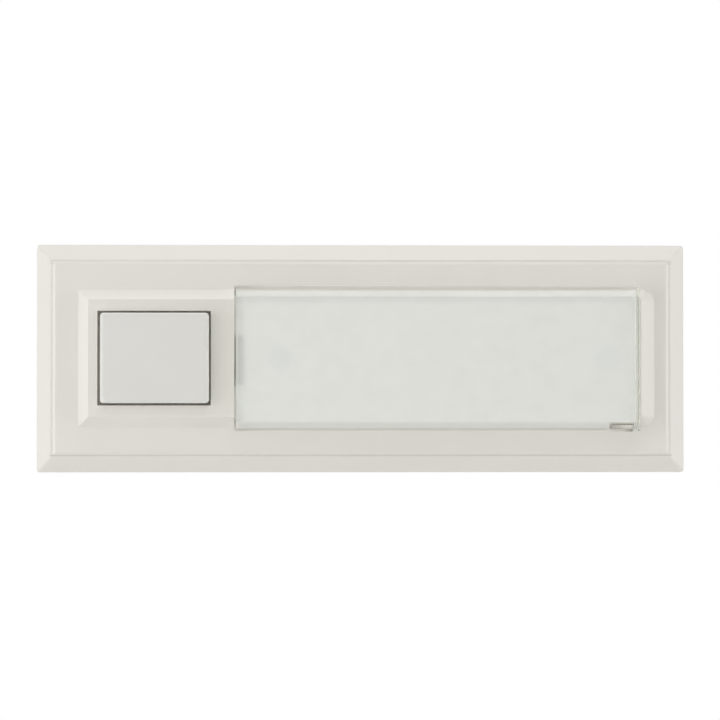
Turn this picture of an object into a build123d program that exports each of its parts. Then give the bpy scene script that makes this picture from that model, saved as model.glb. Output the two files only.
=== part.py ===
from build123d import *
import math
import os

# Doorbell push button with a name window, for a flat wall. Millimetres.
# The pieces are drawn in a plan frame: x to the right, y up, z out from the
# wall, with z = 0 on the wall plane. At the end they are stood up, so that the
# front faces -Y and the origin is the centre of the wall face.

# ---------------------------------------------------------------- dimensions
# plate outline and its two-step bevelled edge
PLATE_L, PLATE_H = 100.0, 35.1
SIDE_Z = 9.0            # height of the upright side wall
EDGE_BEVEL = 2.35       # outer 45 degree bevel, width and height
LEDGE_W = 0.32          # narrow flat between the two bevels
STEP_BEVEL = 0.42       # small inner bevel, width and height
CORNER_R = 0.50         # rounding of the four upright corners
MITRE_R = 0.20          # rounding of the mitres where two bevels meet
FOOT_R = 0.20           # rounding where the side wall turns into the bevel
WALL = 2.0              # side wall thickness
SKIN = 2.15             # thickness of the flat front and of the bar's top
LEDGE_Z = SIDE_Z + EDGE_BEVEL
FLAT_Z = LEDGE_Z + STEP_BEVEL

# raised bar round the button and under the window
BAR_H = 1.8
BAR_Z = FLAT_Z + BAR_H
BAR_FOOT_X0, BAR_CREST_X0 = -43.42, -41.75
BAR_FOOT_X1, BAR_CREST_X1 = 45.11, 42.80
BAR_FOOT_Y, BAR_CREST_Y = 10.55, 9.00
BAR_FOOT_R, BAR_CREST_R = 2.0, 0.4   # corners of its right-hand end
EDGE_R = 0.14           # moulded rounding of the visible edges

# hollow behind the bar
POCKET_X0, POCKET_X1, POCKET_Y = -42.0, 43.8, 9.2
POCKET_Z = BAR_Z - SKIN
UNDER_Z = FLAT_Z - SKIN

# button
BTN_X = -31.55
HOLE_X = -31.70
HOLE_L, HOLE_H = 17.30, 14.46
CAP_L, CAP_H = 16.52, 13.74
CAP_PROUD = 2.0
CAP_R = 0.60            # rounding of its corners, in plan
CAP_END_R = 0.62        # rounding of its left and right front edges
CAP_LONG_R = 0.26       # rounding of its upper and lower front edges
CAP_SKIN, CAP_SKIRT = 1.6, 1.2
FLANGE_OUT = 0.90       # how far the flange reaches under the plate
FLANGE_T = 1.35
FLANGE_GAP = 0.05
TRAVEL = 1.5
CAP_Z = BAR_Z + CAP_PROUD
PLUNGER_R = 1.8

# name card: a sheet on the bar's top, its upper and lower edges bent down over
# the bar's bevels, the lower one cut out for the snap tab
CARD_X = (-19.18, 41.97)
CARD_T = 0.25
CARD_UP = ((9.36, BAR_Z + CARD_T), (10.30, 12.50))       # front of the upper bend, its end
CARD_LOW = ((-9.70, BAR_Z + CARD_T), (-10.77, 11.96))    # the same of the lower one
CARD_CUT_X, CARD_CUT_Y = (37.95, 41.80), -9.80

# clear window, with a skirt above and below and a wall at each end
WIN_X, WIN_Y = (-19.49, 42.33), (-11.16, 11.08)         # at its base
WIN_TOP_X, WIN_TOP_Y = (-19.46, 42.30), (-11.13, 10.98)  # at its front
WIN_IN_Y, WIN_CEIL_Y = (-10.92, 10.84), (-10.88, 10.74)  # inside, at its base and ceiling
WIN_IN_X = (-19.24, 42.00)
WIN_T = 2.30            # thickness of its front
WIN_GAP = 0.02
WIN_CORNER_R = 0.20     # rounding of its corners, in plan
WIN_EDGE_R = 0.08       # rounding of its front edge
WIN_Z0 = BAR_Z + CARD_T + WIN_GAP
WIN_Z1 = WIN_Z0 + WIN_T

# grooves in the bar for the window's end walls: the left one goes right across,
# deeper in the bevels
GROOVE_L, GROOVE_R = (-19.51, -19.20), (41.98, 42.36)
GROOVE_Z, GROOVE_GAP = (13.36, 13.10), (0.02, 0.05)     # left and right
GROOVE_Y = 9.45

# hook on the left end wall, in a blind slot in the bar's top, its foot reaching
# into a room beside the slot that is open below
HOOK_Y = (-4.34, 3.50)
HOOK_CLEAR = (0.34, 0.14)
HOOK_ROOF = 0.50
HOOK_FLOOR_Z = 12.62
HOOK_REACH_X, HOOK_ROOM_X = -20.05, -20.20

# snap tab at the window's lower right corner, the hole that it goes into, the
# room under the hole's lower edge for the tab's barb, a bridge behind the hole,
# and a slit for prising the window off
SNAP_X, SNAP_Y = (38.10, 41.65), (-10.88, -10.02)
SNAP_ROOM_Y, SNAP_ROOF_Z = -11.50, 10.60
BRIDGE_X, BRIDGE_Y, BRIDGE_Z = (37.40, 42.35), (-10.88, -9.20), (9.10, 9.85)
SLIT_X, SLIT_Y, SLIT_Z = (40.50, 41.65), (-11.24, -10.80), 10.95
TAB_X, TAB_Y = (38.22, 41.53), (-10.83, -10.10)
TAB_BARB_Y = -11.34

# flat pads on the inside where the moulding is pushed out of its mould
PUSH_PADS = ((-4.0, 12.0), (-4.0, -12.0), (12.5, 12.0), (12.5, -12.0), (29.0, 12.0), (29.0, -12.0))
PUSH_R, PUSH_H = 1.50, 0.20

# wall screws, through the bar under the card
SCREW_X = (-12.50, 37.50)
SCREW_HOLE_R = 1.80
SCREW_SINK_R = 3.00
POST_R = 3.50
RIB_T, RIB_Z = 1.20, 6.50

# contact base behind the button
BASE_X0, BASE_X1, BASE_Y = -45.20, -18.10, 14.30
BASE_Z0, BASE_Z1 = 5.40, 7.40
BASE_R = 2.0
BUSH_R, BUSH_H, BUSH_BORE = 2.80, 1.50, 1.95
TERM = ((-41.50, 11.30), (-21.80, -11.30))
FIX = ((-41.50, -11.30), (-21.80, 11.30))
BOSS_R = 2.50

# contact strips and their rivets
STRIP_T = 0.40
LEAF_X0, LEAF_ROOT_X1, LEAF_X1, LEAF_HALF = -43.80, -39.20, -25.80, 2.0
STRIP_END_Y = 13.70
FIXED_X0, FIXED_X1, FINGER_X0 = -24.30, -19.30, -29.60
TIP_X, TIP_R, TIP_H, TIP_SHANK_R = -27.60, 1.30, 0.50, 0.60
TIP_UPSET_R, TIP_UPSET_H = 1.0, 0.30
CONTACT_GAP = TRAVEL + 0.02
RIVET = ((-41.50, 4.20), (-21.80, -4.20))
RIVET_R, RIVET_HEAD_R, RIVET_HEAD_H = 0.90, 1.70, 0.60

# terminal stack
CLAMP_SIDE, CLAMP_T = 6.0, 0.80
M3_R, M3_CLEAR_R = 1.45, 1.60
HEAD_R, HEAD_H = 2.60, 1.70
NUT_SIDE, NUT_T, NUT_BED = 5.50, 1.80, 1.0
TSCREW_L = 5.0

# screws that hold the contact base
BSCREW_R, BSCREW_HEAD_R, BSCREW_HEAD_H, BSCREW_L = 1.0, 2.10, 1.50, 5.20

# return spring
SPR_R, SPR_WIRE, SPR_TURNS = 3.25, 0.25, 6.0


# ------------------------------------------------------------------- helpers
def block(x0, x1, y0, y1, z0, z1):
    return Pos((x0 + x1) / 2, (y0 + y1) / 2, (z0 + z1) / 2) * Box(
        x1 - x0, y1 - y0, z1 - z0
    )


def cyl(x, y, r, z0, z1):
    return Pos(x, y, (z0 + z1) / 2) * Cylinder(r, z1 - z0)


def cone(x, y, r0, r1, z0, z1):
    return Pos(x, y, (z0 + z1) / 2) * Cone(r0, r1, z1 - z0)


def prism(points, y0, y1):
    """A closed outline in x and z, drawn out along y."""
    face = Plane.XZ.offset(-y0) * make_face(Polyline(*points, close=True))
    return extrude(face, amount=-(y1 - y0))


def side_prism(points, x0, x1):
    """A closed outline in y and z, drawn out along x."""
    face = Plane.YZ.offset(x0) * make_face(Polyline(*points, close=True))
    return extrude(face, amount=x1 - x0)


def edges_at(part, z, tol=1e-4):
    return ShapeList(
        e
        for e in part.edges()
        if abs(e.bounding_box().min.Z - z) < tol
        and abs(e.bounding_box().max.Z - z) < tol
    )


def pan_head(x, y, r, z_seat, h, slot_w, slot_d, turn):
    """A screw head on the wall side of z_seat, domed, with a driver slot."""
    head = cyl(x, y, r, z_seat - h, z_seat)
    head = fillet(edges_at(head, z_seat - h), h * 0.55)
    slot = Pos(x, y, z_seat - h + slot_d / 2) * Rot(0, 0, turn) * Box(
        3 * r, slot_w, slot_d
    )
    return head - slot


# --------------------------------------------------------------- front plate
def tapered(l0, h0, r0, z0, l1, h1, r1, z1):
    """A block on one rounded rectangle that narrows to another."""
    return loft(
        [
            Pos(0, 0, z0) * RectangleRounded(l0, h0, r0),
            Pos(0, 0, z1) * RectangleRounded(l1, h1, r1),
        ],
        ruled=True,
    )


flat_l = PLATE_L - 2 * (EDGE_BEVEL + LEDGE_W)
flat_h = PLATE_H - 2 * (EDGE_BEVEL + LEDGE_W)
body = extrude(RectangleRounded(PLATE_L, PLATE_H, CORNER_R), SIDE_Z)
body = body + tapered(
    PLATE_L,
    PLATE_H,
    CORNER_R,
    SIDE_Z,
    PLATE_L - 2 * EDGE_BEVEL,
    PLATE_H - 2 * EDGE_BEVEL,
    MITRE_R,
    LEDGE_Z,
)
body = fillet(edges_at(body, SIDE_Z), FOOT_R)
body = fillet(edges_at(body, LEDGE_Z), EDGE_R)
step = tapered(
    flat_l,
    flat_h,
    MITRE_R,
    LEDGE_Z,
    flat_l - 2 * STEP_BEVEL,
    flat_h - 2 * STEP_BEVEL,
    MITRE_R,
    FLAT_Z,
)
step = fillet(edges_at(step, FLAT_Z), EDGE_R)
body = body + step


def bar_outline(half, x0, r0, x1, r1, z):
    """Outline of the bar at one height, each end with its own corner rounding."""
    a = math.sqrt(0.5)
    lines = [Line((x0 + r0, -half), (x1 - r1, -half))]
    if r1:
        lines.append(
            ThreePointArc(
                (x1 - r1, -half),
                (x1 - r1 + r1 * a, -half + r1 - r1 * a),
                (x1, -half + r1),
            )
        )
    lines.append(Line((x1, -half + r1), (x1, half - r1)))
    if r1:
        lines.append(
            ThreePointArc(
                (x1, half - r1),
                (x1 - r1 + r1 * a, half - r1 + r1 * a),
                (x1 - r1, half),
            )
        )
    lines.append(Line((x1 - r1, half), (x0 + r0, half)))
    if r0:
        lines.append(
            ThreePointArc(
                (x0 + r0, half),
                (x0 + r0 - r0 * a, half - r0 + r0 * a),
                (x0, half - r0),
            )
        )
    lines.append(Line((x0, half - r0), (x0, -half + r0)))
    if r0:
        lines.append(
            ThreePointArc(
                (x0, -half + r0),
                (x0 + r0 - r0 * a, -half + r0 - r0 * a),
                (x0 + r0, -half),
            )
        )
    return Pos(0, 0, z) * make_face(Wire(lines))


# bevelled all round, mitred at the button's end and rounded at the other
bar = loft(
    [
        bar_outline(BAR_FOOT_Y, BAR_FOOT_X0, MITRE_R, BAR_FOOT_X1, BAR_FOOT_R, FLAT_Z),
        bar_outline(
            BAR_CREST_Y, BAR_CREST_X0, MITRE_R, BAR_CREST_X1, BAR_CREST_R, BAR_Z
        ),
    ],
    ruled=True,
)
bar = fillet(edges_at(bar, BAR_Z), EDGE_R)
body = body + bar

# hollow back: side walls, flat front and the pocket behind the bar
inner_l, inner_h = PLATE_L - 2 * WALL, PLATE_H - 2 * WALL
hollow = extrude(RectangleRounded(inner_l, inner_h, 1.6), UNDER_Z)
hollow = chamfer(edges_at(hollow, UNDER_Z), 1.35)
pocket = block(POCKET_X0, POCKET_X1, -POCKET_Y, POCKET_Y, UNDER_Z - 1, POCKET_Z)
body = body - hollow - pocket

# posts for the wall screws, a stiffening rib across each
for px in SCREW_X:
    body = body + cyl(px, 0, POST_R, 0, POCKET_Z + 0.5)
    body = body + block(
        px - RIB_T / 2,
        px + RIB_T / 2,
        -PLATE_H / 2 + WALL / 2,
        PLATE_H / 2 - WALL / 2,
        RIB_Z,
        UNDER_Z - 1.0,
    )
    body = body + block(
        px - RIB_T / 2,
        px + RIB_T / 2,
        -PLATE_H / 2 + WALL + 1.0,
        PLATE_H / 2 - WALL - 1.0,
        RIB_Z,
        UNDER_Z + 0.3,
    )
    body = body + block(
        px - RIB_T / 2, px + RIB_T / 2, -POCKET_Y, POCKET_Y, RIB_Z, POCKET_Z + 0.3
    )

# bosses for the contact base
for fx, fy in FIX:
    body = body + cyl(fx, fy, BOSS_R, BASE_Z1, UNDER_Z + 0.5)
    if abs(fy) - BOSS_R < POCKET_Y:
        body = body + (
            cyl(fx, fy, BOSS_R, BASE_Z1, POCKET_Z + 0.2)
            & block(fx - 4, fx + 4, -POCKET_Y - 0.3, POCKET_Y + 0.3, 0, POCKET_Z + 0.2)
        )

# pads from the mould's push-out pins
for px, py in PUSH_PADS:
    body = body + cyl(px, py, PUSH_R, UNDER_Z - PUSH_H, UNDER_Z + 0.3)

# opening for the button
body = body - block(
    HOLE_X - HOLE_L / 2,
    HOLE_X + HOLE_L / 2,
    -HOLE_H / 2,
    HOLE_H / 2,
    POCKET_Z - 1,
    BAR_Z + 1,
)

# grooves for the window's end walls
for x, floor_z in zip((GROOVE_L, GROOVE_R), GROOVE_Z):
    body = body - block(*x, -GROOVE_Y, GROOVE_Y, floor_z, BAR_Z + 1)
for y in ((-BAR_FOOT_Y, -GROOVE_Y), (GROOVE_Y, BAR_FOOT_Y)):
    body = body - block(*GROOVE_L, *y, FLAT_Z, BAR_Z + 1)

# slot for the hook and the room beside it, under the bar's top
body = body - block(*GROOVE_L, *HOOK_Y, HOOK_FLOOR_Z, BAR_Z + 1)
body = body - block(
    HOOK_ROOM_X, GROOVE_L[0] + 0.01, *HOOK_Y, POCKET_Z - 1, BAR_Z - HOOK_ROOF
)

# hole for the snap tab, the bridge and the room behind it, and the slit
body = body - block(*SNAP_X, *SNAP_Y, UNDER_Z - 1, BAR_Z + 1)
body = body + block(*BRIDGE_X, *BRIDGE_Y, *BRIDGE_Z)
body = body - block(*SNAP_X, SNAP_ROOM_Y, SNAP_Y[0], UNDER_Z - 1, SNAP_ROOF_Z)
body = body - block(*SLIT_X, *SLIT_Y, SLIT_Z, FLAT_Z + 1)

# wall screw holes, countersunk from the bar's top under the card
for px in SCREW_X:
    body = body - cyl(px, 0, SCREW_HOLE_R, -1, BAR_Z + 1)
    body = body - cone(
        px,
        0,
        SCREW_HOLE_R,
        SCREW_SINK_R,
        BAR_Z - (SCREW_SINK_R - SCREW_HOLE_R),
        BAR_Z,
    )

# pilot holes in the bosses
for fx, fy in FIX:
    body = body - cyl(fx, fy, BSCREW_R + 0.05, BASE_Z1 - 1, BASE_Z1 + 3.3)

front_plate = body

# ---------------------------------------------------------------- push button
flange_z1 = POCKET_Z - FLANGE_GAP
flange_z0 = flange_z1 - FLANGE_T
cap_h = CAP_Z - flange_z0
cap_mid = (CAP_Z + flange_z0) / 2
cap = extrude(Pos(BTN_X, 0, flange_z0) * RectangleRounded(CAP_L, CAP_H, CAP_R), cap_h)
ends = Pos(BTN_X, 0, cap_mid) * Box(CAP_L, CAP_H + 2, cap_h)
ends = fillet(edges_at(ends, CAP_Z).filter_by(Axis.Y), CAP_END_R)
longs = Pos(BTN_X, 0, cap_mid) * Box(CAP_L + 2, CAP_H, cap_h)
longs = fillet(edges_at(longs, CAP_Z).filter_by(Axis.X), CAP_LONG_R)
cap = cap & ends & longs
flange = extrude(
    Pos(BTN_X, 0, flange_z0)
    * RectangleRounded(HOLE_L + 2 * FLANGE_OUT, HOLE_H + 2 * FLANGE_OUT, 1.0),
    FLANGE_T,
)
cap = cap + flange
cap = cap - extrude(
    Pos(BTN_X, 0, flange_z0 - 1)
    * RectangleRounded(CAP_L - 2 * CAP_SKIRT, CAP_H - 2 * CAP_SKIRT, 0.5),
    CAP_Z - CAP_SKIN - flange_z0 + 1,
)
ceiling = CAP_Z - CAP_SKIN
plunger_z = BASE_Z0 + 0.02
cap = cap + cyl(BTN_X, 0, PLUNGER_R, plunger_z, ceiling + 0.3)
cap = cap + cyl(BTN_X, 0, BUSH_R, ceiling - BUSH_H, ceiling + 0.3)
cap = fillet(edges_at(cap, plunger_z), 0.5)
push_button = cap

# ---------------------------------------------------------------- clear window
def rounded(x, y, r, z):
    return Pos((x[0] + x[1]) / 2, (y[0] + y[1]) / 2, z) * RectangleRounded(
        x[1] - x[0], y[1] - y[0], r
    )


win = loft(
    [
        rounded(WIN_X, WIN_Y, WIN_CORNER_R, FLAT_Z + WIN_GAP),
        rounded(WIN_TOP_X, WIN_TOP_Y, WIN_CORNER_R, WIN_Z1),
    ],
    ruled=True,
)
win = fillet(edges_at(win, WIN_Z1), WIN_EDGE_R)
win = win - loft(
    [
        rounded(WIN_IN_X, WIN_IN_Y, 0.1, FLAT_Z),
        rounded(WIN_IN_X, WIN_CEIL_Y, 0.1, WIN_Z0),
    ],
    ruled=True,
)
# its end walls end in the grooves; the right one doesn't reach over the bevels
wall_ends = ((WIN_X[0] - 1, WIN_IN_X[0] + 0.1), (WIN_IN_X[1] - 0.1, WIN_X[1] + 1))
wall_z = [z + gap for z, gap in zip(GROOVE_Z, GROOVE_GAP)]
for x, end_z in zip(wall_ends, wall_z):
    win = win - block(*x, -GROOVE_Y, GROOVE_Y, FLAT_Z, end_z)
for y in ((WIN_IN_Y[0], 0.1 - GROOVE_Y), (GROOVE_Y - 0.1, WIN_IN_Y[1])):
    win = win - block(WIN_IN_X[1] - 0.1, WIN_X[1] + 1, *y, FLAT_Z, WIN_Z0)
hook_z1 = BAR_Z - HOOK_ROOF - 0.05
hook_z0 = HOOK_FLOOR_Z + 0.04
win = win + prism(
    [
        (WIN_TOP_X[0] + 0.02, wall_z[0] + 0.3),
        (WIN_IN_X[0] - 0.02, wall_z[0] + 0.3),
        (WIN_IN_X[0] - 0.02, hook_z0),
        (HOOK_REACH_X + 0.15, hook_z0),
        (HOOK_REACH_X, hook_z0 + 0.12),
        (HOOK_REACH_X, hook_z1),
        (WIN_TOP_X[0] + 0.02, hook_z1),
    ],
    HOOK_Y[0] + HOOK_CLEAR[0],
    HOOK_Y[1] - HOOK_CLEAR[1],
)
tab_z = SNAP_ROOF_Z - 0.05
win = win + side_prism(
    [
        (TAB_Y[0], WIN_Z0 + 0.3),
        (TAB_Y[1], WIN_Z0 + 0.3),
        (TAB_Y[1], tab_z - 0.5),
        (TAB_Y[1] - 0.15, tab_z - 0.65),
        (TAB_BARB_Y + 0.2, tab_z - 0.65),
        (TAB_BARB_Y, tab_z - 0.3),
        (TAB_BARB_Y, tab_z),
        (TAB_Y[0], tab_z),
    ],
    TAB_X[0],
    TAB_X[1],
)
label_window = win

# ------------------------------------------------------------------- name card
def bent_edge(bend, end):
    """Back of a bent edge of the card: its end and its bend."""
    side = math.copysign(1.0, bend[0])
    run, drop = abs(end[0] - bend[0]), bend[1] - end[1]
    slope = math.atan2(drop, run)
    back_end = (
        end[0] - side * CARD_T * math.sin(slope),
        end[1] - CARD_T * math.cos(slope),
    )
    back_bend = (bend[0] - side * CARD_T * math.tan(slope / 2), BAR_Z)
    return back_end, back_bend


up_end, up_bend = bent_edge(*CARD_UP)
low_end, low_bend = bent_edge(*CARD_LOW)
name_card = side_prism(
    [CARD_LOW[1], CARD_LOW[0], CARD_UP[0], CARD_UP[1], up_end, up_bend, low_bend, low_end],
    *CARD_X,
)
name_card = name_card - block(*CARD_CUT_X, -12, CARD_CUT_Y, FLAT_Z, BAR_Z + 1)

# ---------------------------------------------------------------- contact base
mid_x = (BASE_X0 + BASE_X1) / 2
base = extrude(
    Pos(mid_x, 0, BASE_Z0) * RectangleRounded(BASE_X1 - BASE_X0, 2 * BASE_Y, BASE_R),
    BASE_Z1 - BASE_Z0,
)
base = chamfer(edges_at(base, BASE_Z0), 0.3)
base = base + cyl(BTN_X, 0, BUSH_R, BASE_Z1 - 0.5, BASE_Z1 + BUSH_H)
base = base - cyl(BTN_X, 0, BUSH_BORE, 0, 20)
for tx, ty in TERM:
    base = base - cyl(tx, ty, M3_CLEAR_R, 0, 20)
    base = base - block(
        tx - NUT_SIDE / 2 - 0.1,
        tx + NUT_SIDE / 2 + 0.1,
        ty - NUT_SIDE / 2 - 0.1,
        ty + NUT_SIDE / 2 + 0.1,
        BASE_Z1 - NUT_BED,
        BASE_Z1 + 5,
    )
for fx, fy in FIX:
    base = base - cyl(fx, fy, BSCREW_R + 0.2, 0, 20)
for rx, ry in RIVET:
    base = base - cyl(rx, ry, RIVET_R + 0.05, 0, 20)
base = base - cyl(TIP_X, 0, TIP_UPSET_R + 0.6, 0, BASE_Z0 + TIP_UPSET_H + 0.4)
contact_base = base

# -------------------------------------------------------------- contact strips
leaf_z0, leaf_z1 = BASE_Z0 - STRIP_T, BASE_Z0
leaf = block(LEAF_X0, LEAF_ROOT_X1, -LEAF_HALF, STRIP_END_Y, leaf_z0, leaf_z1)
leaf = fillet(leaf.edges().filter_by(Axis.Z), 0.7)
beam = block(
    LEAF_ROOT_X1 - 2, LEAF_X1 - LEAF_HALF, -LEAF_HALF, LEAF_HALF, leaf_z0, leaf_z1
)
leaf = leaf + beam + cyl(LEAF_X1 - LEAF_HALF, 0, LEAF_HALF, leaf_z0, leaf_z1)
leaf = leaf - cyl(TERM[0][0], TERM[0][1], M3_CLEAR_R, 0, 20)
leaf = leaf - cyl(RIVET[0][0], RIVET[0][1], RIVET_R, 0, 20)
leaf = leaf - cyl(TIP_X, 0, TIP_SHANK_R, 0, 20)
moving_contact = leaf

tip_z0 = leaf_z0 - TIP_H
stop_z = tip_z0 - CONTACT_GAP
finger_z1 = stop_z - TIP_H
finger_z0 = finger_z1 - STRIP_T
fixed = block(FIXED_X0, FIXED_X1, -STRIP_END_Y, LEAF_HALF, leaf_z0, leaf_z1)
fixed = fillet(
    [
        e
        for e in fixed.edges().filter_by(Axis.Z)
        if not (abs(e.center().X - FIXED_X0) < 0.01 and e.center().Y > 0)
    ],
    0.7,
)
bend = prism(
    [
        (FIXED_X0 + 0.8, leaf_z1),
        (FIXED_X0 - STRIP_T, leaf_z1),
        (FIXED_X0 - STRIP_T, finger_z1),
        (FINGER_X0 + LEAF_HALF, finger_z1),
        (FINGER_X0 + LEAF_HALF, finger_z0),
        (FIXED_X0, finger_z0),
        (FIXED_X0, leaf_z0),
        (FIXED_X0 + 0.8, leaf_z0),
    ],
    -LEAF_HALF,
    LEAF_HALF,
)


def bend_edge(x, z):
    return [
        e
        for e in bend.edges().filter_by(Axis.Y)
        if abs(e.center().X - x) < 1e-3 and abs(e.center().Z - z) < 1e-3
    ]


bend = fillet(
    bend_edge(FIXED_X0 - STRIP_T, leaf_z1) + bend_edge(FIXED_X0, finger_z0), 0.6
)
bend = fillet(
    bend_edge(FIXED_X0, leaf_z0) + bend_edge(FIXED_X0 - STRIP_T, finger_z1), 0.2
)
fixed = fixed + bend + cyl(FINGER_X0 + LEAF_HALF, 0, LEAF_HALF, finger_z0, finger_z1)
fixed = fixed - cyl(TERM[1][0], TERM[1][1], M3_CLEAR_R, 0, 20)
fixed = fixed - cyl(RIVET[1][0], RIVET[1][1], RIVET_R, 0, 20)
fixed = fixed - cyl(TIP_X, 0, TIP_SHANK_R, 0, finger_z1 + 0.1)
fixed_contact = fixed

# contact rivets: a domed head towards the gap and an upset end behind the strip
m_tip = cyl(TIP_X, 0, TIP_R, tip_z0, leaf_z0)
m_tip = fillet(edges_at(m_tip, tip_z0), 0.3)
m_tip = m_tip + cyl(TIP_X, 0, TIP_SHANK_R, leaf_z0 - 0.1, leaf_z1 + 0.1)
m_tip = m_tip + cyl(TIP_X, 0, TIP_UPSET_R, leaf_z1, leaf_z1 + TIP_UPSET_H)
moving_contact_tip = m_tip
f_tip = cyl(TIP_X, 0, TIP_R, finger_z1, stop_z)
f_tip = fillet(edges_at(f_tip, stop_z), 0.3)
f_tip = f_tip + cyl(TIP_X, 0, TIP_SHANK_R, finger_z0 - 0.1, finger_z1 + 0.1)
f_tip = f_tip + cyl(TIP_X, 0, TIP_UPSET_R, finger_z0 - TIP_UPSET_H, finger_z0)
fixed_contact_tip = f_tip

# ------------------------------------------------------------------- fasteners
rivets = []
for rx, ry in RIVET:
    r = cyl(rx, ry, RIVET_HEAD_R, leaf_z0 - RIVET_HEAD_H, leaf_z0)
    r = fillet(edges_at(r, leaf_z0 - RIVET_HEAD_H), 0.4)
    r = r + cyl(rx, ry, RIVET_R, leaf_z0 - 0.1, BASE_Z1 + 0.1)
    up = cyl(rx, ry, RIVET_HEAD_R - 0.2, BASE_Z1, BASE_Z1 + 0.5)
    up = fillet(edges_at(up, BASE_Z1 + 0.5), 0.3)
    rivets.append(r + up)

clamps, screws, nuts = [], [], []
clamp_z0 = leaf_z0 - CLAMP_T
for i, (tx, ty) in enumerate(TERM):
    c = block(
        tx - CLAMP_SIDE / 2 + 0.2,
        tx + CLAMP_SIDE / 2 - 0.2,
        ty - CLAMP_SIDE / 2 + 0.2,
        ty + CLAMP_SIDE / 2 - 0.2,
        clamp_z0,
        leaf_z0,
    )
    c = fillet(c.edges().filter_by(Axis.Z), 0.6)
    c = c - cyl(tx, ty, M3_CLEAR_R, 0, 20)
    for gx in (-2.2, 2.2):
        c = c - Pos(tx + gx, ty, leaf_z0) * Rot(90, 0, 0) * Cylinder(0.45, 20)
    clamps.append(c)
    s = pan_head(tx, ty, HEAD_R, clamp_z0, HEAD_H, 0.8, 0.9, 25 + 50 * i)
    s = s + cyl(tx, ty, M3_R, clamp_z0 - 0.2, clamp_z0 + TSCREW_L)
    s = chamfer(edges_at(s, clamp_z0 + TSCREW_L), 0.35)
    screws.append(s)
    n0 = BASE_Z1 - NUT_BED
    n = block(
        tx - NUT_SIDE / 2,
        tx + NUT_SIDE / 2,
        ty - NUT_SIDE / 2,
        ty + NUT_SIDE / 2,
        n0,
        n0 + NUT_T,
    )
    n = chamfer(n.edges().filter_by(Axis.Z), 0.3)
    n = n - cyl(tx, ty, M3_R + 0.05, 0, 20)
    nuts.append(n)

bscrews = []
for i, (fx, fy) in enumerate(FIX):
    s = pan_head(
        fx, fy, BSCREW_HEAD_R, BASE_Z0, BSCREW_HEAD_H, 0.6, 0.8, -20 + 65 * i
    )
    s = s + cyl(fx, fy, BSCREW_R, BASE_Z0 - 0.2, BASE_Z0 + BSCREW_L - 0.8)
    s = s + cone(
        fx,
        fy,
        BSCREW_R,
        0.35,
        BASE_Z0 + BSCREW_L - 0.8,
        BASE_Z0 + BSCREW_L - 0.1,
    )
    bscrews.append(s)

# --------------------------------------------------------------- return spring
spr_z0 = BASE_Z1 + SPR_WIRE + 0.02
spr_z1 = ceiling - SPR_WIRE - 0.02
helix = Pos(BTN_X, 0, spr_z0) * Helix(
    (spr_z1 - spr_z0) / SPR_TURNS, spr_z1 - spr_z0, SPR_R
)
section = Plane(origin=helix @ 0, z_dir=helix % 0) * Circle(SPR_WIRE)
return_spring = sweep(section, path=helix, is_frenet=True)


# ----------------------------------------------------------------------- write
def stood_up(shapes):
    """One piece, or a group of equal pieces, turned from plan to upright."""
    turned = [s for shape in shapes for s in (Rot(90, 0, 0) * shape).solids()]
    return turned[0] if len(turned) == 1 else Compound(turned)


nodes = {
    "front_plate": [front_plate],
    "push_button": [push_button],
    "label_window": [label_window],
    "name_card": [name_card],
    "contact_base": [contact_base],
    "return_spring": [return_spring],
    "moving_contact": [moving_contact],
    "fixed_contact": [fixed_contact],
    "moving_contact_tip": [moving_contact_tip],
    "fixed_contact_tip": [fixed_contact_tip],
    "terminal_screws": screws,
    "terminal_clamps": clamps,
    "terminal_nuts": nuts,
    "strip_rivets": rivets,
    "base_screws": bscrews,
}

os.makedirs("parts", exist_ok=True)
for name, shapes in nodes.items():
    solid = stood_up(shapes)
    b = solid.bounding_box()
    print(
        f"{name}: {len(solid.solids())} solid(s), {solid.volume:.2f} mm3, "
        f"x {b.min.X:.2f}..{b.max.X:.2f}  y {b.min.Y:.2f}..{b.max.Y:.2f}  "
        f"z {b.min.Z:.2f}..{b.max.Z:.2f}"
    )
    export_step(solid, f"parts/{name}.step")
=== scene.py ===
import math

import bmesh
import bpy
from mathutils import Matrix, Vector


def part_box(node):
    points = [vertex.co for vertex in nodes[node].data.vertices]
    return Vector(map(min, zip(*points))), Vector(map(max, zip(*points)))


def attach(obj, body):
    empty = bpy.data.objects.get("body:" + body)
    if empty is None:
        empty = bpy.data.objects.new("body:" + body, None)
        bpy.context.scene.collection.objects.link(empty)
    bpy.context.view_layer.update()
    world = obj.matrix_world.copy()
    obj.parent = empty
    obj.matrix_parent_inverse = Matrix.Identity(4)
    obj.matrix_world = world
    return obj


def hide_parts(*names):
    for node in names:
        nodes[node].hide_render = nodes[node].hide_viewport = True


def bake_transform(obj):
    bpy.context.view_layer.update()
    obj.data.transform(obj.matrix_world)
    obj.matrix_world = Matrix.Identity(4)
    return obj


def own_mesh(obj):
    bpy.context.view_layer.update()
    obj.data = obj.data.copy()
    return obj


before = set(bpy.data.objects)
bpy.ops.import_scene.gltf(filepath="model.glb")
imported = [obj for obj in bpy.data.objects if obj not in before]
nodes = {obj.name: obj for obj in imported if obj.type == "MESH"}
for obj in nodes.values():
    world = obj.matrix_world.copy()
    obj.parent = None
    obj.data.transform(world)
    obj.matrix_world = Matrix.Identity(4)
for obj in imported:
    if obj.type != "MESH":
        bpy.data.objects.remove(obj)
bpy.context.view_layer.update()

# Doorbell push button with a name window: finishes, the leaf and the spring that
# flex in use, rebuilt, light, floor and camera. Everything is in metres, in the frame
# of the part: x to the right, z up, the front faces -y and the wall plane is y = 0.

scene = bpy.context.scene
MM = 0.001

# ------------------------------------------------------------------ node tools


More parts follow.
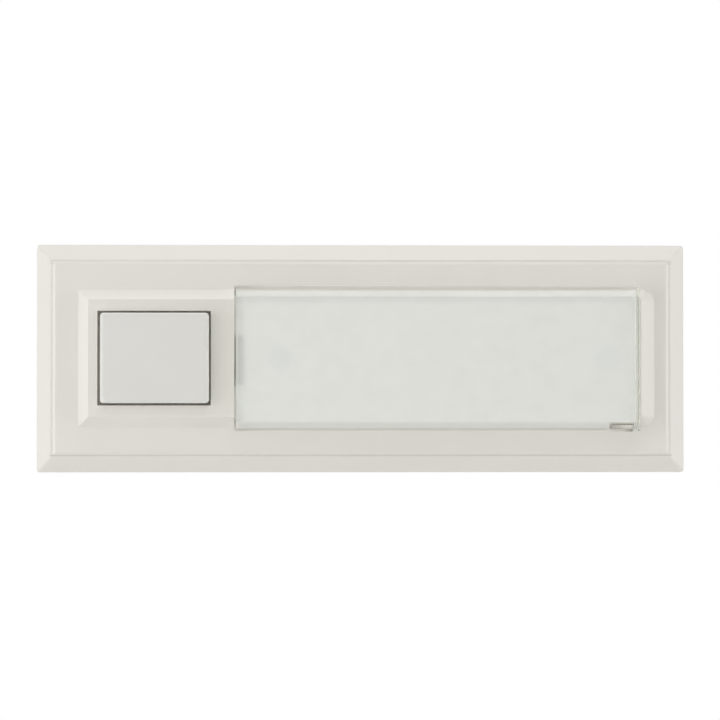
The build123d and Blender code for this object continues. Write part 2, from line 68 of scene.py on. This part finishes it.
def new_material(name):
    m = bpy.data.materials.new(name)
    m.use_nodes = True
    nt = m.node_tree
    nt.nodes.clear()
    out = nt.nodes.new("ShaderNodeOutputMaterial")
    p = nt.nodes.new("ShaderNodeBsdfPrincipled")
    nt.links.new(p.outputs["BSDF"], out.inputs["Surface"])
    return m, nt, p, out


def object_coords(nt, scale=(1, 1, 1)):
    c = nt.nodes.new("ShaderNodeTexCoord")
    if scale == (1, 1, 1):
        return c.outputs["Object"]
    mp = nt.nodes.new("ShaderNodeMapping")
    mp.inputs["Scale"].default_value = scale
    nt.links.new(c.outputs["Object"], mp.inputs["Vector"])
    return mp.outputs["Vector"]


def noise(nt, vec, scale, detail=2.0, rough=0.5, distortion=0.0):
    n = nt.nodes.new("ShaderNodeTexNoise")
    n.inputs["Scale"].default_value = scale
    n.inputs["Detail"].default_value = detail
    n.inputs["Roughness"].default_value = rough
    n.inputs["Distortion"].default_value = distortion
    nt.links.new(vec, n.inputs["Vector"])
    return n.outputs["Fac"]


def spread(nt, fac, low, high, from_low=0.3, from_high=0.7):
    """fac, mostly between from_low and from_high, spread to low..high."""
    r = nt.nodes.new("ShaderNodeMapRange")
    r.inputs["From Min"].default_value = from_low
    r.inputs["From Max"].default_value = from_high
    r.inputs["To Min"].default_value = low
    r.inputs["To Max"].default_value = high
    nt.links.new(fac, r.inputs["Value"])
    return r.outputs["Result"]


def two_tone(nt, fac, dark, light):
    r = nt.nodes.new("ShaderNodeValToRGB")
    r.color_ramp.elements[0].position = 0.3
    r.color_ramp.elements[0].color = (*dark, 1)
    r.color_ramp.elements[1].position = 0.7
    r.color_ramp.elements[1].color = (*light, 1)
    nt.links.new(fac, r.inputs["Fac"])
    return r.outputs["Color"]


def combine(nt, a, b, share):
    """a and b added, b weighted by share."""
    m = nt.nodes.new("ShaderNodeMath")
    m.operation = "MULTIPLY_ADD"
    m.inputs[1].default_value = share
    nt.links.new(b, m.inputs[0])
    nt.links.new(a, m.inputs[2])
    return m.outputs[0]


def bump(nt, p, height, depth, strength=1.0):
    b = nt.nodes.new("ShaderNodeBump")
    b.inputs["Strength"].default_value = strength
    b.inputs["Distance"].default_value = depth
    nt.links.new(height, b.inputs["Height"])
    nt.links.new(b.outputs["Normal"], p.inputs["Normal"])
    return b


def step(nt, value, from_mm, to_mm, low=0.0, high=1.0):
    """A soft step from low to high as value, in metres, goes from from_mm to to_mm."""
    r = nt.nodes.new("ShaderNodeMapRange")
    r.interpolation_type = "SMOOTHSTEP"
    r.inputs["From Min"].default_value = min(from_mm, to_mm) * MM
    r.inputs["From Max"].default_value = max(from_mm, to_mm) * MM
    r.inputs["To Min"].default_value = low if from_mm < to_mm else high
    r.inputs["To Max"].default_value = high if from_mm < to_mm else low
    nt.links.new(value, r.inputs["Value"])
    return r.outputs["Result"]


def calc(nt, operation, a, b):
    """One step of arithmetic on two sockets, or on a socket and a number."""
    m = nt.nodes.new("ShaderNodeMath")
    m.operation = operation
    nt.links.new(a, m.inputs[0])
    if isinstance(b, (int, float)):
        m.inputs[1].default_value = b
    else:
        nt.links.new(b, m.inputs[1])
    return m.outputs[0]


def axes(nt):
    """x, y and z of the object coordinates."""
    x = nt.nodes.new("ShaderNodeSeparateXYZ")
    nt.links.new(object_coords(nt), x.inputs["Vector"])
    return x.outputs["X"], x.outputs["Y"], x.outputs["Z"]


def tinted(nt, colour, share, tint):
    """colour multiplied by tint where share is 1, as it is where share is 0."""
    m = nt.nodes.new("ShaderNodeMix")
    m.data_type = "RGBA"
    m.blend_type = "MULTIPLY"
    nt.links.new(share, m.inputs[0])
    nt.links.new(colour, m.inputs[6])
    m.inputs[7].default_value = (*tint, 1)
    return m.outputs[2]


def shade(colour, factor):
    return tuple(min(1.0, c * factor) for c in colour)


# ------------------------------------------------------------------- materials
PLATE = (0.800, 0.772, 0.724)
WIN_ENDS, WIN_FRONT = (-19.20, 42.00), -16.14   # mm, x of the end walls and y of the front
HOLES_X = (-12.5, 37.5)
BUTTON = (0.754, 0.745, 0.708)


def moulded(name, colour, rough, grain_mm, grain_depth_mm, drift=0.012, painted_crease_shade=()):
    """Moulded plastic: an even colour that drifts a little, a fine spark-eroded
    grain and a sheen that varies with it. Each entry of the last argument, (from z,
    to z, tint) in mm, is a line of painted shade on the front, in the crease along the step of the edge."""
    m, nt, p, _ = new_material(name)
    vec = object_coords(nt)
    drift_n = noise(nt, vec, 1 / (18 * MM), 3.0, 0.55)
    fine = noise(nt, vec, 1 / (grain_mm * MM), 3.0, 0.6)
    finer = noise(nt, vec, 1 / (grain_mm * 0.37 * MM), 2.0, 0.5)
    tone = combine(nt, drift_n, fine, 0.35)
    ramp = two_tone(nt, tone, shade(colour, 1 - drift), shade(colour, 1 + drift))
    ramp.node.color_ramp.elements[0].position = 0.45
    ramp.node.color_ramp.elements[1].position = 0.90
    if painted_crease_shade:
        _, y, z = axes(nt)
        front = step(nt, y, -11.0, -11.2)
    # painted shade: each crease line is darkened on the front
    for low, high, tint in painted_crease_shade:
        row = calc(nt, "MULTIPLY", step(nt, z, low - 0.08, low), step(nt, z, high + 0.08, high))
        ramp = tinted(nt, ramp, calc(nt, "MULTIPLY", row, front), (tint, tint, tint))
    nt.links.new(ramp, p.inputs["Base Color"])
    nt.links.new(
        spread(nt, combine(nt, drift_n, finer, 0.6), rough - 0.05, rough + 0.05, 0.6, 1.1),
        p.inputs["Roughness"],
    )
    p.inputs["IOR"].default_value = 1.50
    bump(nt, p, combine(nt, fine, finer, 0.55), grain_depth_mm * MM)
    return m


# painted shade in the creases along the lower and upper steps of the edge
plate_plastic = moulded(
    "plate_plastic", PLATE, 0.46, 0.42, 0.014, painted_crease_shade=((-14.98, -14.82, 0.84), (14.46, 15.02, 0.93))
)
button_plastic = moulded("button_plastic", BUTTON, 0.40, 0.30, 0.006, 0.008)


def clear_acrylic():
    m, nt, p, out = new_material("clear_acrylic")
    vec = object_coords(nt)
    p.inputs["Base Color"].default_value = (0.992, 0.996, 0.990, 1)
    p.inputs["Transmission Weight"].default_value = 1.0
    p.inputs["IOR"].default_value = 1.49
    haze = spread(nt, noise(nt, vec, 1 / (7 * MM), 3.0, 0.6), 0.0, 0.035)
    # the end faces are matt, the rest is polished
    x, y, _ = axes(nt)
    ends = calc(nt, "ADD", step(nt, x, WIN_ENDS[0], WIN_ENDS[0] - 0.02), step(nt, x, WIN_ENDS[1], WIN_ENDS[1] + 0.02))
    matt = calc(nt, "MULTIPLY", ends, step(nt, y, WIN_FRONT + 0.08, WIN_FRONT + 0.12))
    nt.links.new(
        calc(nt, "ADD", haze, calc(nt, "MULTIPLY", matt, 0.45)), p.inputs["Roughness"]
    )
    wave = noise(nt, vec, 1 / (9 * MM), 1.0, 0.4)
    bump(nt, p, wave, 0.010 * MM)
    body = nt.nodes.new("ShaderNodeVolumeAbsorption")
    body.inputs["Color"].default_value = (0.80, 0.88, 0.76, 1)
    body.inputs["Density"].default_value = 18.0
    nt.links.new(body.outputs["Volume"], out.inputs["Volume"])
    return m


def card_stock():
    m, nt, p, _ = new_material("card_stock")
    vec = object_coords(nt)
    fibre = noise(nt, object_coords(nt, (0.35, 1, 1)), 1 / (0.35 * MM), 4.0, 0.65, 0.4)
    cloud = noise(nt, vec, 1 / (2.4 * MM), 3.0, 0.6)
    tone = combine(nt, cloud, fibre, 0.8)
    ramp = two_tone(nt, tone, (0.888, 0.883, 0.856), (0.922, 0.917, 0.891))
    ramp.node.color_ramp.elements[0].position = 0.6
    ramp.node.color_ramp.elements[1].position = 1.2 - 0.2
    # painted shade on the card over the slot for the hook and round the screw holes beneath it
    x, _, z = axes(nt)
    rows = calc(nt, "MULTIPLY", step(nt, z, -4.6, -3.6), step(nt, z, 3.9, 2.9))
    cols = calc(nt, "MULTIPLY", step(nt, x, -17.2, -18.7), step(nt, x, -19.16, -18.80))
    painted_slot_shade = calc(nt, "MULTIPLY", rows, cols)
    colour = tinted(nt, ramp, painted_slot_shade, (0.845, 0.845, 0.850))
    for at in HOLES_X:
        off_x = calc(nt, "POWER", calc(nt, "SUBTRACT", x, at * MM), 2)
        off = calc(nt, "SQRT", calc(nt, "ADD", off_x, calc(nt, "POWER", z, 2)), 0)
        colour = tinted(nt, colour, step(nt, off, 2.5, 1.2), (0.965, 0.970, 0.982))
    # painted shade under the upper bend, on the lower bent edge and at the right end,
    # and a painted highlight at the left end
    painted_bend_shade = calc(nt, "MULTIPLY", step(nt, z, 8.0, 8.9), step(nt, z, 9.50, 9.36))
    colour = tinted(nt, colour, painted_bend_shade, (0.940, 0.940, 0.942))
    colour = tinted(nt, colour, step(nt, z, -9.6, -10.2), (0.930, 0.930, 0.926))
    colour = tinted(nt, colour, step(nt, x, 41.1, 41.8), (0.940, 0.940, 0.942))
    colour = tinted(nt, colour, step(nt, x, -18.5, -19.0), (1.055, 1.055, 1.055))
    nt.links.new(colour, p.inputs["Base Color"])
    nt.links.new(spread(nt, fibre, 0.72, 0.86), p.inputs["Roughness"])
    p.inputs["Specular IOR Level"].default_value = 0.3
    bump(nt, p, fibre, 0.010 * MM)
    return m


def insulator():
    m, nt, p, _ = new_material("insulator")
    vec = object_coords(nt)
    flow = noise(nt, object_coords(nt, (1, 1, 0.45)), 1 / (4 * MM), 4.0, 0.6, 0.8)
    fine = noise(nt, vec, 1 / (0.25 * MM), 2.0, 0.5)
    nt.links.new(
        two_tone(nt, flow, (0.030, 0.029, 0.028), (0.052, 0.050, 0.048)),
        p.inputs["Base Color"],
    )
    nt.links.new(
        spread(nt, combine(nt, flow, fine, 0.5), 0.36, 0.54, 0.5, 1.0),
        p.inputs["Roughness"],
    )
    bump(nt, p, fine, 0.006 * MM)
    return m


def metal(name, dark, light, rough, stretch, line_mm, depth_mm, thread=None):
    """Rolled, drawn or plated metal: fine lines along one axis, tarnish that
    comes and goes, and a sheen broken up by both. thread = (from y, pitch) adds
    the turns of a screw thread inwards of that y."""
    m, nt, p, _ = new_material(name)
    vec = object_coords(nt)
    lines = noise(nt, object_coords(nt, stretch), 1 / (line_mm * MM), 3.0, 0.6)
    stain = noise(nt, vec, 1 / (3.5 * MM), 4.0, 0.6, 0.3)
    tone = combine(nt, stain, lines, 0.6)
    ramp = two_tone(nt, tone, dark, light)
    ramp.node.color_ramp.elements[0].position = 0.55
    ramp.node.color_ramp.elements[1].position = 1.0
    nt.links.new(ramp, p.inputs["Base Color"])
    p.inputs["Metallic"].default_value = 1.0
    nt.links.new(
        spread(nt, tone, rough + 0.10, rough - 0.06, 0.5, 1.1), p.inputs["Roughness"]
    )
    height = lines
    if thread:
        start, pitch = thread
        wave = nt.nodes.new("ShaderNodeTexWave")
        wave.wave_type = "BANDS"
        wave.bands_direction = "Y"
        wave.wave_profile = "TRI"
        wave.inputs["Scale"].default_value = math.pi / (10 * pitch)
        nt.links.new(vec, wave.inputs["Vector"])
        xyz = nt.nodes.new("ShaderNodeSeparateXYZ")
        nt.links.new(vec, xyz.inputs["Vector"])
        inside = nt.nodes.new("ShaderNodeMath")
        inside.operation = "LESS_THAN"
        inside.inputs[1].default_value = start
        nt.links.new(xyz.outputs["Y"], inside.inputs[0])
        turns = nt.nodes.new("ShaderNodeMath")
        turns.operation = "MULTIPLY"
        nt.links.new(wave.outputs["Fac"], turns.inputs[0])
        nt.links.new(inside.outputs[0], turns.inputs[1])
        height = combine(nt, lines, turns.outputs[0], 0.22 * MM / (depth_mm * MM))
    bump(nt, p, height, depth_mm * MM)
    return m


bronze = metal("contact_bronze", (0.46, 0.25, 0.12), (0.66, 0.40, 0.21), 0.30, (0.08, 1, 1), 0.12, 0.003)
brass = metal("contact_brass", (0.56, 0.38, 0.14), (0.78, 0.58, 0.26), 0.28, (1, 1, 0.08), 0.12, 0.003)
rivet_brass = metal("rivet_brass", (0.50, 0.34, 0.13), (0.74, 0.55, 0.26), 0.32, (1, 1, 1), 0.20, 0.004)
silver = metal("contact_silver", (0.70, 0.69, 0.66), (0.88, 0.87, 0.85), 0.24, (1, 1, 1), 0.18, 0.003)
plated = metal("plated_steel", (0.46, 0.47, 0.48), (0.66, 0.67, 0.69), 0.30, (1, 1, 1), 0.22, 0.004, (-5.4 * MM, 0.5 * MM))
plated_flat = metal("plated_flat", (0.46, 0.47, 0.48), (0.66, 0.67, 0.69), 0.34, (1, 1, 0.12), 0.16, 0.004)
spring_steel = metal("spring_steel", (0.34, 0.34, 0.35), (0.56, 0.56, 0.57), 0.30, (1, 1, 1), 0.15, 0.003)

finish_of = {
    "front_plate": plate_plastic,
    "push_button": button_plastic,
    "label_window": clear_acrylic(),
    "name_card": card_stock(),
    "contact_base": insulator(),
    "return_spring": spring_steel,
    "moving_contact": bronze,
    "fixed_contact": brass,
    "moving_contact_tip": silver,
    "fixed_contact_tip": silver,
    "terminal_screws": plated,
    "terminal_clamps": plated_flat,
    "terminal_nuts": plated_flat,
    "strip_rivets": rivet_brass,
    "base_screws": plated,
}
for name, material in finish_of.items():
    o = nodes[name]
    o.data.materials.clear()
    o.data.materials.append(material)


def link(name, mesh):
    o = bpy.data.objects.new(name, mesh)
    scene.collection.objects.link(o)
    return o


# ------------------------------------------------- the moving contact leaf, cut across
def bending_leaf():
    """The moving contact, which the plunger bends in use, with cross cuts every
    half millimetre along its free length from its fixed root, in place of the original."""
    mesh = nodes["moving_contact"].data.copy()
    bm = bmesh.new()
    bm.from_mesh(mesh)
    x = -39.2
    while x < -31.0:
        bmesh.ops.bisect_plane(
            bm,
            geom=bm.verts[:] + bm.edges[:] + bm.faces[:],
            dist=1e-8,
            plane_co=(x * MM, 0, 0),
            plane_no=(1, 0, 0),
        )
        x += 0.5
    for f in bm.faces:
        f.smooth = False
    bm.to_mesh(mesh)
    bm.free()
    o = link("moving_contact_leaf", mesh)
    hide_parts("moving_contact")
    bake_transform(o)
    return o


# ------------------------------------------------------------------- coil spring
def coil_spring():
    """Return spring with closed ends: the first and last turns lie almost flat."""
    lo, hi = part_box("return_spring")
    wire = 0.25 * MM
    cx, cz = (lo.x + hi.x) / 2, (lo.z + hi.z) / 2
    radius = (hi.x - lo.x) / 2 - wire
    y_near, y_far = hi.y - wire, lo.y + wire
    turns, per_turn, sides = 6.5, 40, 12
    steps = int(turns * per_turn)

    def rise(t):
        """Share of the length at turn t: slow in the end turns."""
        end = 0.9
        slow, fast = 0.55 * wire * 4 / abs(y_far - y_near), None
        rest = 1 - 2 * slow
        if t < end:
            return slow * t / end
        if t > turns - end:
            return 1 - slow * (turns - t) / end
        return slow + rest * (t - end) / (turns - 2 * end)

    bm = bmesh.new()
    rings = []
    for i in range(steps + 1):
        t = turns * i / steps
        a = 2 * math.pi * t
        c = Vector(
            (
                cx + radius * math.cos(a),
                y_near + (y_far - y_near) * rise(t),
                cz + radius * math.sin(a),
            )
        )
        outward = Vector((math.cos(a), 0, math.sin(a)))
        along = Vector((0, 1, 0))
        rings.append(
            [
                bm.verts.new(
                    c
                    + wire * math.cos(2 * math.pi * k / sides) * outward
                    + wire * math.sin(2 * math.pi * k / sides) * along
                )
                for k in range(sides)
            ]
        )
    for r0, r1 in zip(rings, rings[1:]):
        for k in range(sides):
            bm.faces.new((r0[k], r0[(k + 1) % sides], r1[(k + 1) % sides], r1[k]))
    bm.faces.new(rings[0])
    bm.faces.new(rings[-1])
    bmesh.ops.recalc_face_normals(bm, faces=bm.faces[:])
    for f in bm.faces:
        f.smooth = len(f.verts) == 4
    mesh = bpy.data.meshes.new("return_spring_coil")
    bm.to_mesh(mesh)
    bm.free()
    mesh.materials.append(spring_steel)
    o = link("return_spring_coil", mesh)
    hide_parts("return_spring")
    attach(o, "base")
    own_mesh(o)
    return o


bending_leaf()
coil_spring()

# ----------------------------------------------------------------- floor and light
bm = bmesh.new()
bmesh.ops.create_circle(bm, cap_ends=True, segments=128, radius=2.6)
mesh = bpy.data.meshes.new("floor")
bm.to_mesh(mesh)
bm.free()
floor = link("floor", mesh)
floor.location = (0, 0, -0.50)
m, nt, p, out = new_material("floor_pale")
vec = object_coords(nt)
nt.links.new(
    two_tone(nt, noise(nt, vec, 6.0, 3.0), (0.86, 0.86, 0.855), (0.88, 0.88, 0.875)),
    p.inputs["Base Color"],
)
p.inputs["Roughness"].default_value = 0.7
# it fades out towards its rim, so that no horizon shows
reach = nt.nodes.new("ShaderNodeVectorMath")
reach.operation = "LENGTH"
nt.links.new(vec, reach.inputs[0])
fade = nt.nodes.new("ShaderNodeMixShader")
nt.links.new(spread(nt, reach.outputs["Value"], 0.0, 1.0, 0.5, 2.5), fade.inputs["Fac"])
nt.links.new(p.outputs["BSDF"], fade.inputs[1])
nt.links.new(nt.nodes.new("ShaderNodeBsdfTransparent").outputs[0], fade.inputs[2])
nt.links.new(fade.outputs[0], out.inputs["Surface"])
mesh.materials.append(m)


def area_light(name, at, size, radiance, colour=(1, 1, 1)):
    light = bpy.data.lights.new(name, "AREA")
    light.shape = "RECTANGLE"
    light.size, light.size_y = size
    light.energy = radiance * math.pi * size[0] * size[1]
    light.color = colour
    o = bpy.data.objects.new(name, light)
    scene.collection.objects.link(o)
    o.location = at
    o.rotation_euler = (Vector((0, 0, 0)) - Vector(at)).to_track_quat("-Z", "Y").to_euler()
    o.visible_camera = False
    return o


# Square soft boxes round the part. Each is given by its angle from straight in
# front, its angle round that line from the right, its distance, its side and its
# radiance; the last two stand behind the wall plane and light the back.
for name, off, around, far, side, level in (
    ("near_left", 35, 180, 1.0, 0.70, 1.02),
    ("near_top", 35, 90, 1.0, 0.70, 1.15),
    ("lower_left", 35, 225, 0.45, 0.315, 0.54),
    ("left", 58, 180, 1.0, 0.70, 1.57),
    ("top", 58, 90, 1.0, 0.70, 0.77),
    ("right", 58, 0, 1.0, 0.70, 1.25),
    ("left_rim", 88, 180, 1.0, 0.70, 1.56),
    ("top_rim", 88, 90, 1.0, 0.70, 2.60),
    ("right_rim", 88, 0, 1.0, 0.70, 2.46),
    ("back_left", 145, 150, 1.0, 0.70, 1.3),
    ("back_right", 150, 35, 1.0, 0.70, 1.2),
):
    a, b = math.radians(off), math.radians(around)
    at = (
        far * math.sin(a) * math.cos(b),
        -far * math.cos(a),
        far * math.sin(a) * math.sin(b),
    )
    area_light("soft_" + name, at, (side, side), level)

world = bpy.data.worlds.new("studio")
scene.world = world
world.use_nodes = True
nt = world.node_tree
nt.nodes.clear()
out = nt.nodes.new("ShaderNodeOutputWorld")
seen = nt.nodes.new("ShaderNodeBackground")
seen.inputs["Color"].default_value = (1, 1, 1, 1)
seen.inputs["Strength"].default_value = 1.0
lit = nt.nodes.new("ShaderNodeBackground")
lit.inputs["Color"].default_value = (1, 1, 1, 1)
lit.inputs["Strength"].default_value = 0.12
path = nt.nodes.new("ShaderNodeLightPath")
mix = nt.nodes.new("ShaderNodeMixShader")
nt.links.new(path.outputs["Is Camera Ray"], mix.inputs["Fac"])
nt.links.new(lit.outputs[0], mix.inputs[1])
nt.links.new(seen.outputs[0], mix.inputs[2])
nt.links.new(mix.outputs[0], out.inputs["Surface"])

scene.view_settings.view_transform = "Standard"
scene.view_settings.look = "None"
scene.view_settings.exposure = 0.0
scene.view_settings.gamma = 1.0
# Light that comes through the clear window keeps its direction, and may run
# along inside it from end to end.
scene.cycles.blur_glossy = 0.0
scene.cycles.max_bounces = 48
scene.cycles.glossy_bounces = 48
scene.cycles.transmission_bounces = 48
scene.cycles.diffuse_bounces = 6

# ------------------------------------------------------------------------- camera
camera = bpy.data.cameras.new("camera")
camera.lens = 126.803
camera.sensor_width = 36.0
camera.clip_start, camera.clip_end = 0.01, 20.0
cam = bpy.data.objects.new("camera", camera)
scene.collection.objects.link(cam)
cam.location = (-9.0 * MM, -401.0 * MM, -6.5 * MM)
aim = Vector((-0.163 * MM, -9.0 * MM, -0.207 * MM))
look = (aim - Vector(cam.location)).to_track_quat("-Z", "Y")
cam.rotation_mode = "QUATERNION"
cam.rotation_quaternion = look
scene.camera = cam
